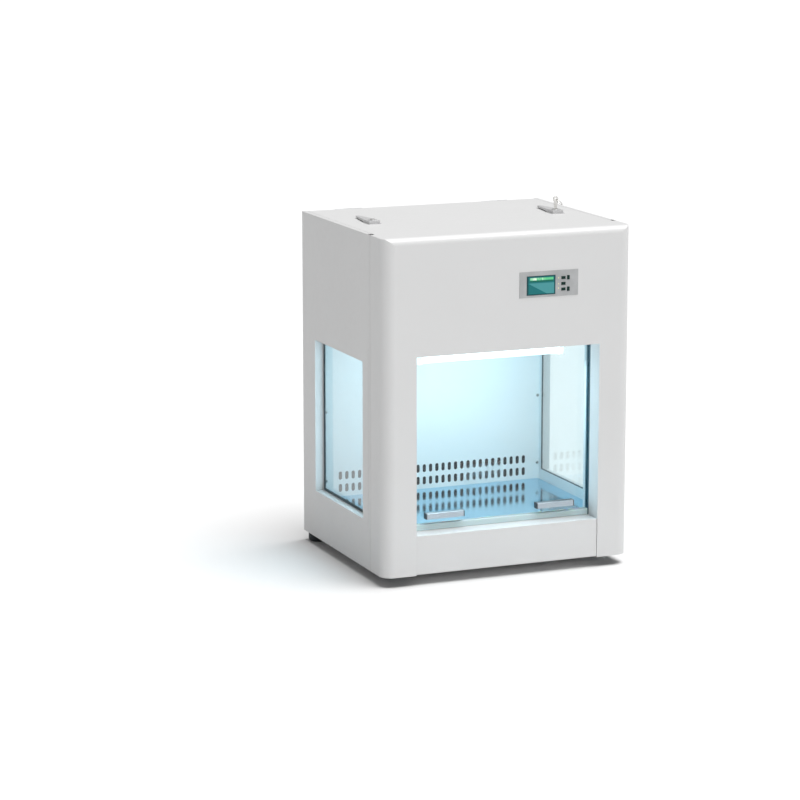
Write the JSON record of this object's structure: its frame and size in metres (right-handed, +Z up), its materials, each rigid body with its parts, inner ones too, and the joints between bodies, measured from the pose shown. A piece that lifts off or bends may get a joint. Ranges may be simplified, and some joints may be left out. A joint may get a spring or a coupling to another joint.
{
  "type": "laminar flow hood",
  "caption": "Bench-top laminar flow hood with a sliding glass front, side windows, a lift-up cover with two key latches, a display panel and a filter and blower over a lit chamber.",
  "frame": {"origin": "middle of the footprint, on the plane that the feet stand on", "axes": "+Z up, the glass front faces -Y, +X to the right seen from the front"},
  "size_m": [0.55, 0.46, 0.748],
  "materials": {
    "powder_coat": "fine satin powder coat, light grey-white",
    "liner_coat": "smooth white chamber enamel",
    "stainless": "bright rolled stainless steel",
    "grip_metal": "satin anodised extrusion",
    "grip_cap": "moulded dark grey",
    "window_glass": "clear float glass, polished edges",
    "clear_seal": "translucent soft strip, greenish",
    "black_rubber": "moulded black rubber",
    "guide_plastic": "dark teal-black sliding channel",
    "cast_zinc": "satin cast metal",
    "bright_nickel": "nickel plate",
    "galvanised": "zinc-plated sheet",
    "filter_paper": "pleated glass-fibre paper and coarse white pad",
    "wheel_plastic": "glass-filled black nylon",
    "motor_cast": "die-cast",
    "led_white": "frosted lamp tube",
    "uv_quartz": "clear lamp tube",
    "holder_plastic": "white moulded",
    "panel_grey": "fine-grained grey overlay",
    "display_teal": "tinted display window",
    "display_dark": "display housing",
    "key_dark": "dark green-black moulded keys",
    "led_amber": "pale lens",
    "board_green": "circuit board",
    "inlet_black": "moulded black"
  },
  "bodies": {
    "cabinet": {"left_side_panel": "powder_coat", "right_side_panel": "powder_coat", "rear_panel": "powder_coat", "front_sill": "powder_coat", "base_pan": "powder_coat", "left_liner": "liner_coat", "right_liner": "liner_coat", "back_liner": "liner_coat", "diffuser_plate": "liner_coat", "work_surface": "stainless", "left_window_glass": "window_glass", "right_window_glass": "window_glass", "left_window_gasket": "black_rubber", "right_window_gasket": "black_rubber", "rubber_feet": "black_rubber", "filter_gasket": "black_rubber", "left_sash_guide": "guide_plastic", "right_sash_guide": "guide_plastic", "panel_screws": "bright_nickel", "plenum_box": "galvanised", "motor_bracket": "galvanised", "filter_frame": "galvanised", "prefilter_frame": "galvanised", "latch_keepers": "galvanised", "hinge_fixed_leaves": "galvanised", "power_supply": "galvanised", "filter_media": "filter_paper", "prefilter_pad": "filter_paper", "blower_motor": "motor_cast", "led_tube": "led_white", "uv_tube": "uv_quartz", "lamp_holders": "holder_plastic", "power_inlet": "inlet_black"},
    "cover": {"hood_cover": "powder_coat", "control_plate": "panel_grey", "display_lens": "display_teal", "display_module": "display_dark", "status_leds": "led_amber", "control_board": "board_green", "latch_bases": "cast_zinc", "hinge_cover_leaves": "galvanised"},
    "sash": {"sash_glass": "window_glass", "sash_bottom_seal": "clear_seal", "left_sash_grip": "grip_metal", "right_sash_grip": "grip_metal", "sash_grip_caps": "grip_cap", "sash_grip_screws": "bright_nickel"},
    "left_latch": {"left_latch_handle": "cast_zinc", "left_latch_cam": "galvanised"},
    "right_latch": {"right_latch_handle": "cast_zinc", "right_latch_cam": "galvanised"},
    "left_plug": {"left_lock_plug": "bright_nickel"},
    "right_plug": {"right_lock_plug": "bright_nickel", "lock_key": "bright_nickel"},
    "blower_wheel": {"blower_impeller": "wheel_plastic"},
    "key_1": {"panel_key_1": "key_dark"},
    "key_2": {"panel_key_2": "key_dark"},
    "key_3": {"panel_key_3": "key_dark"},
    "key_4": {"panel_key_4": "key_dark"},
    "key_5": {"panel_key_5": "key_dark"}
  },
  "joints": [
    {"name": "cover_lift", "type": "hinge", "parent": "cabinet", "child": "cover", "pos_m": [0, 0.2265, 0.7095], "axis": [-1, 0, 0], "range_deg": [0, 60]},
    {"name": "sash_slide", "type": "slide", "parent": "cabinet", "child": "sash", "axis": [0, 0, 1], "range_m": [0, 0.2]},
    {"name": "left_latch_turn", "type": "hinge", "parent": "cover", "child": "left_latch", "pos_m": [-0.2075, -0.0024, 0.713], "axis": [0, 0, -1], "range_deg": [0, 90]},
    {"name": "right_latch_turn", "type": "hinge", "parent": "cover", "child": "right_latch", "pos_m": [0.2075, -0.0024, 0.713], "axis": [0, 0, 1], "range_deg": [0, 90]},
    {"name": "left_plug_turn", "type": "hinge", "parent": "left_latch", "child": "left_plug", "pos_m": [-0.2075, -0.0024, 0.72], "axis": [0, 0, -1], "range_deg": [0, 90]},
    {"name": "right_plug_turn", "type": "hinge", "parent": "right_latch", "child": "right_plug", "pos_m": [0.2075, -0.0024, 0.72], "axis": [0, 0, 1], "range_deg": [0, 90]},
    {"name": "blower_spin", "type": "hinge", "parent": "cabinet", "child": "blower_wheel", "pos_m": [0, -0.0016, 0.6], "axis": [0, 0, 1], "continuous": true},
    {"name": "key_1_press", "type": "slide", "parent": "cover", "child": "key_1", "axis": [0, 1, 0], "range_m": [0, 0.0005], "stiffness_N_per_m": 400},
    {"name": "key_2_press", "type": "slide", "parent": "cover", "child": "key_2", "axis": [0, 1, 0], "range_m": [0, 0.0005], "stiffness_N_per_m": 400},
    {"name": "key_3_press", "type": "slide", "parent": "cover", "child": "key_3", "axis": [0, 1, 0], "range_m": [0, 0.0005], "stiffness_N_per_m": 400},
    {"name": "key_4_press", "type": "slide", "parent": "cover", "child": "key_4", "axis": [0, 1, 0], "range_m": [0, 0.0005], "stiffness_N_per_m": 400},
    {"name": "key_5_press", "type": "slide", "parent": "cover", "child": "key_5", "axis": [0, 1, 0], "range_m": [0, 0.0005], "stiffness_N_per_m": 400}
  ]
}
